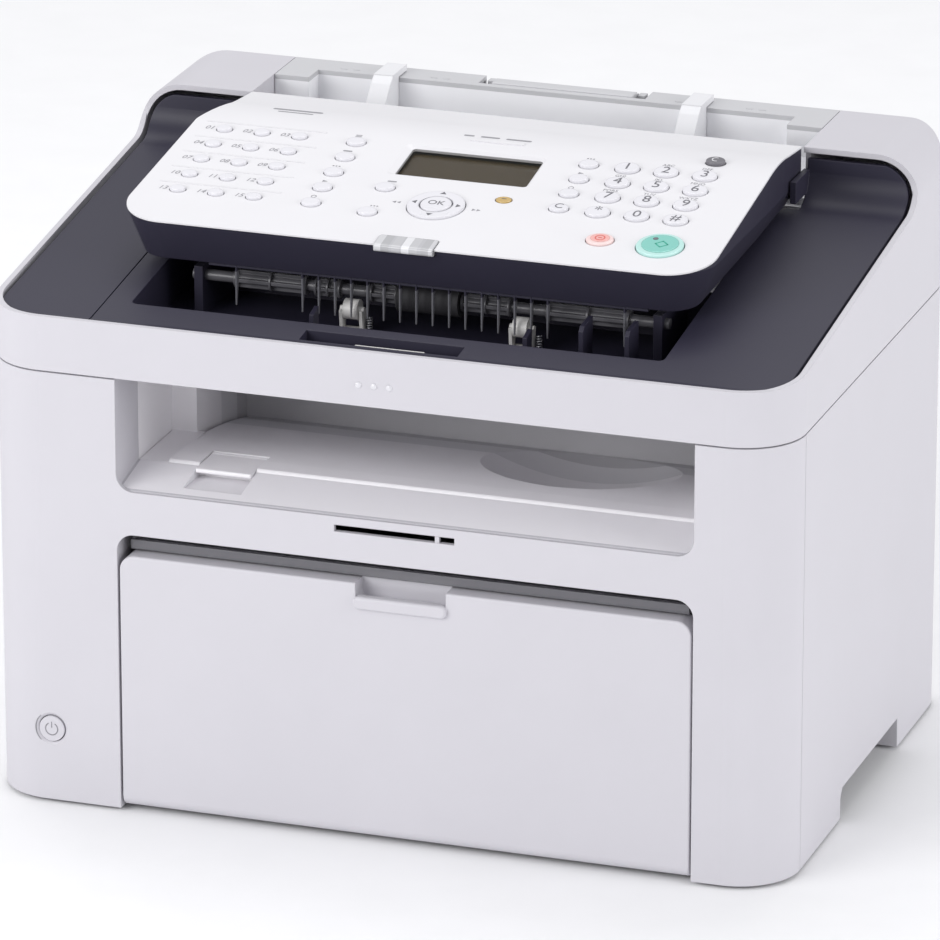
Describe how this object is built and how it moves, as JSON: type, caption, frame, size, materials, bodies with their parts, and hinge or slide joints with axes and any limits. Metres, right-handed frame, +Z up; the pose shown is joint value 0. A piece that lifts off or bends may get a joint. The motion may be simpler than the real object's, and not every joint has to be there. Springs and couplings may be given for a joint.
{
  "type": "fax machine",
  "caption": "Compact laser fax machine with a sloping operation panel, document feeder on top, open output bay and a fold-down paper door at the front.",
  "frame": {"origin": "centre of the bounding box at the bottom of the rubber feet", "axes": "+Z up, the front with the bay and the paper door faces -Y, +X to the right of a user in front of it"},
  "size_m": [0.372, 0.2645, 0.2815],
  "materials": {
    "housing": "fine-textured",
    "housing_inner": "fine-textured",
    "panel_white": "satin",
    "deck_grey": "fine-textured",
    "feeder_grey": "fine-textured",
    "key_white": "satin",
    "key_dark": "satin",
    "stop_pink": "satin",
    "start_green": "gloss",
    "lcd_glass": "gloss",
    "window_clear": "gloss",
    "lens": "gloss",
    "smoked": "gloss",
    "black_plastic": "matt",
    "roller_rubber": "matt",
    "foot_rubber": "matt",
    "white_plastic": "satin",
    "galvanised": "brushed",
    "screw_steel": "zinc plated",
    "board": "solder resist"
  },
  "bodies": {
    "base": {"base_frame": "galvanised", "front_shell": "housing", "side_cover_left": "housing", "side_cover_right": "housing", "rear_cover": "housing", "casing_screws": "screw_steel", "rubber_feet": "foot_rubber", "output_tray": "housing_inner", "toner_cartridge": "black_plastic", "laser_unit": "black_plastic", "fuser_unit": "galvanised", "main_board": "board", "drive_unit": "white_plastic", "power_inlet": "black_plastic", "line_jacks": "black_plastic"},
    "upper_unit": {"upper_housing": "housing", "deck_cover": "deck_grey", "pinch_rollers": "white_plastic", "image_sensor": "black_plastic", "document_tray": "feeder_grey"},
    "operation_panel": {"panel_plate": "panel_white", "panel_shell": "deck_grey", "panel_board": "board", "lcd_window": "window_clear", "lcd_module": "lcd_glass", "indicator_lenses": "lens"},
    "tray_door": {"tray_door": "housing"},
    "dust_cover": {"dust_cover": "smoked"},
    "paper_guide_left": {"paper_guide_left": "black_plastic"},
    "paper_guide_right": {"paper_guide_right": "black_plastic"},
    "paper_stop": {"paper_stop": "housing_inner"},
    "exit_roller": {"exit_roller": "roller_rubber"},
    "pickup_roller": {"pickup_roller": "roller_rubber"},
    "power_button": {"power_button": "key_white"},
    "feed_roller": {"feed_roller": "roller_rubber"},
    "document_guide_left": {"document_guide_left": "feeder_grey"},
    "document_guide_right": {"document_guide_right": "feeder_grey"},
    "guide_pinion": {"guide_pinion": "white_plastic"},
    "document_flap": {"document_flap": "feeder_grey"},
    "one_touch_keys": {"one_touch_keys": "key_white"},
    "mode_keys": {"mode_keys": "key_white"},
    "menu_keys": {"menu_keys": "key_white"},
    "small_keys": {"small_keys": "key_white"},
    "nav_ring": {"nav_ring": "key_white"},
    "ok_key": {"ok_key": "key_white"},
    "energy_saver_key": {"energy_saver_key": "key_dark"},
    "stop_key": {"stop_key": "stop_pink"},
    "start_key": {"start_key": "start_green"},
    "key_1": {"key_1": "key_white"},
    "key_2": {"key_2": "key_white"},
    "key_3": {"key_3": "key_white"},
    "key_4": {"key_4": "key_white"},
    "key_5": {"key_5": "key_white"},
    "key_6": {"key_6": "key_white"},
    "key_7": {"key_7": "key_white"},
    "key_8": {"key_8": "key_white"},
    "key_9": {"key_9": "key_white"},
    "key_star": {"key_star": "key_white"},
    "key_0": {"key_0": "key_white"},
    "key_hash": {"key_hash": "key_white"}
  },
  "joints": [
    {"name": "upper_unit_hinge", "type": "hinge", "parent": "base", "child": "upper_unit", "pos_m": [0, 0.125, 0.1995], "axis": [-1, 0, 0], "range_deg": [0, 38]},
    {"name": "panel_hinge", "type": "hinge", "parent": "upper_unit", "child": "operation_panel", "pos_m": [0, 0.055, 0.262], "axis": [-1, 0, 0], "range_deg": [0, 40]},
    {"name": "tray_door_hinge", "type": "hinge", "parent": "base", "child": "tray_door", "pos_m": [0.0113, -0.126, 0.0075], "axis": [1, 0, 0], "range_deg": [0, 90]},
    {"name": "dust_cover_slide", "type": "slide", "parent": "base", "child": "dust_cover", "axis": [0, -1, 0], "range_m": [0, 0.12]},
    {"name": "paper_guide_left_slide", "type": "slide", "parent": "base", "child": "paper_guide_left", "axis": [1, 0, 0], "range_m": [0, 0.05]},
    {"name": "paper_guide_right_slide", "type": "slide", "parent": "base", "child": "paper_guide_right", "axis": [-1, 0, 0], "range_m": [0, 0.05]},
    {"name": "paper_stop_hinge", "type": "hinge", "parent": "base", "child": "paper_stop", "pos_m": [-0.08, -0.087, 0.157], "axis": [-1, 0, 0], "range_deg": [0, 80]},
    {"name": "exit_roller_spin", "type": "hinge", "parent": "base", "child": "exit_roller", "pos_m": [0.0172, 0.011, 0.1905], "axis": [1, 0, 0], "continuous": true},
    {"name": "pickup_roller_spin", "type": "hinge", "parent": "base", "child": "pickup_roller", "pos_m": [0.005, 0.037, 0.066], "axis": [1, 0, 0], "continuous": true},
    {"name": "power_button_press", "type": "slide", "parent": "base", "child": "power_button", "axis": [0, 1, 0], "range_m": [0, 0.0015], "stiffness_N_per_m": 400},
    {"name": "feed_roller_spin", "type": "hinge", "parent": "upper_unit", "child": "feed_roller", "pos_m": [-0.001, -0.057, 0.2312], "axis": [1, 0, 0], "continuous": true},
    {"name": "document_guide_left_slide", "type": "slide", "parent": "upper_unit", "child": "document_guide_left", "axis": [1, 0, 0], "range_m": [-0.024, 0.025]},
    {"name": "document_guide_right_slide", "type": "slide", "parent": "upper_unit", "child": "document_guide_right", "axis": [-1, 0, 0], "range_m": [-0.024, 0.025]},
    {"name": "guide_pinion_spin", "type": "hinge", "parent": "upper_unit", "child": "guide_pinion", "pos_m": [-0.006, 0.109, 0.245], "axis": [0, 1, 0], "range_deg": [-385, 370]},
    {"name": "document_flap_hinge", "type": "hinge", "parent": "upper_unit", "child": "document_flap", "pos_m": [0.002, 0.128, 0.2734], "axis": [-1, 0, 0], "range_deg": [0, 140]},
    {"name": "one_touch_keys_press", "type": "slide", "parent": "operation_panel", "child": "one_touch_keys", "axis": [0, 0.1695, -0.9855], "range_m": [0, 0.0009], "stiffness_N_per_m": 300},
    {"name": "mode_keys_press", "type": "slide", "parent": "operation_panel", "child": "mode_keys", "axis": [0, 0.1695, -0.9855], "range_m": [0, 0.0009], "stiffness_N_per_m": 300},
    {"name": "menu_keys_press", "type": "slide", "parent": "operation_panel", "child": "menu_keys", "axis": [0, 0.1695, -0.9855], "range_m": [0, 0.0009], "stiffness_N_per_m": 300},
    {"name": "small_keys_press", "type": "slide", "parent": "operation_panel", "child": "small_keys", "axis": [0, 0.1695, -0.9855], "range_m": [0, 0.0009], "stiffness_N_per_m": 300},
    {"name": "nav_ring_press", "type": "slide", "parent": "operation_panel", "child": "nav_ring", "axis": [0, 0.1695, -0.9855], "range_m": [0, 0.0009], "stiffness_N_per_m": 300},
    {"name": "ok_key_press", "type": "slide", "parent": "operation_panel", "child": "ok_key", "axis": [0, 0.1695, -0.9855], "range_m": [0, 0.0009], "stiffness_N_per_m": 300},
    {"name": "energy_saver_key_press", "type": "slide", "parent": "operation_panel", "child": "energy_saver_key", "axis": [0, 0.1695, -0.9855], "range_m": [0, 0.0009], "stiffness_N_per_m": 300},
    {"name": "stop_key_press", "type": "slide", "parent": "operation_panel", "child": "stop_key", "axis": [0, 0.1695, -0.9855], "range_m": [0, 0.0009], "stiffness_N_per_m": 300},
    {"name": "start_key_press", "type": "slide", "parent": "operation_panel", "child": "start_key", "axis": [0, 0.1695, -0.9855], "range_m": [0, 0.0009], "stiffness_N_per_m": 300},
    {"name": "key_1_press", "type": "slide", "parent": "operation_panel", "child": "key_1", "axis": [0, 0.1695, -0.9855], "range_m": [0, 0.0009], "stiffness_N_per_m": 300},
    {"name": "key_2_press", "type": "slide", "parent": "operation_panel", "child": "key_2", "axis": [0, 0.1695, -0.9855], "range_m": [0, 0.0009], "stiffness_N_per_m": 300},
    {"name": "key_3_press", "type": "slide", "parent": "operation_panel", "child": "key_3", "axis": [0, 0.1695, -0.9855], "range_m": [0, 0.0009], "stiffness_N_per_m": 300},
    {"name": "key_4_press", "type": "slide", "parent": "operation_panel", "child": "key_4", "axis": [0, 0.1695, -0.9855], "range_m": [0, 0.0009], "stiffness_N_per_m": 300},
    {"name": "key_5_press", "type": "slide", "parent": "operation_panel", "child": "key_5", "axis": [0, 0.1695, -0.9855], "range_m": [0, 0.0009], "stiffness_N_per_m": 300},
    {"name": "key_6_press", "type": "slide", "parent": "operation_panel", "child": "key_6", "axis": [0, 0.1695, -0.9855], "range_m": [0, 0.0009], "stiffness_N_per_m": 300},
    {"name": "key_7_press", "type": "slide", "parent": "operation_panel", "child": "key_7", "axis": [0, 0.1695, -0.9855], "range_m": [0, 0.0009], "stiffness_N_per_m": 300},
    {"name": "key_8_press", "type": "slide", "parent": "operation_panel", "child": "key_8", "axis": [0, 0.1695, -0.9855], "range_m": [0, 0.0009], "stiffness_N_per_m": 300},
    {"name": "key_9_press", "type": "slide", "parent": "operation_panel", "child": "key_9", "axis": [0, 0.1695, -0.9855], "range_m": [0, 0.0009], "stiffness_N_per_m": 300},
    {"name": "key_star_press", "type": "slide", "parent": "operation_panel", "child": "key_star", "axis": [0, 0.1695, -0.9855], "range_m": [0, 0.0009], "stiffness_N_per_m": 300},
    {"name": "key_0_press", "type": "slide", "parent": "operation_panel", "child": "key_0", "axis": [0, 0.1695, -0.9855], "range_m": [0, 0.0009], "stiffness_N_per_m": 300},
    {"name": "key_hash_press", "type": "slide", "parent": "operation_panel", "child": "key_hash", "axis": [0, 0.1695, -0.9855], "range_m": [0, 0.0009], "stiffness_N_per_m": 300}
  ],
  "couplings": [
    {"joint": "paper_guide_right_slide", "follows": "paper_guide_left_slide", "ratio": 1},
    {"joint": "document_guide_right_slide", "follows": "document_guide_left_slide", "ratio": 1},
    {"joint": "guide_pinion_spin", "follows": "document_guide_left_slide", "rad_per_m": -263}
  ]
}
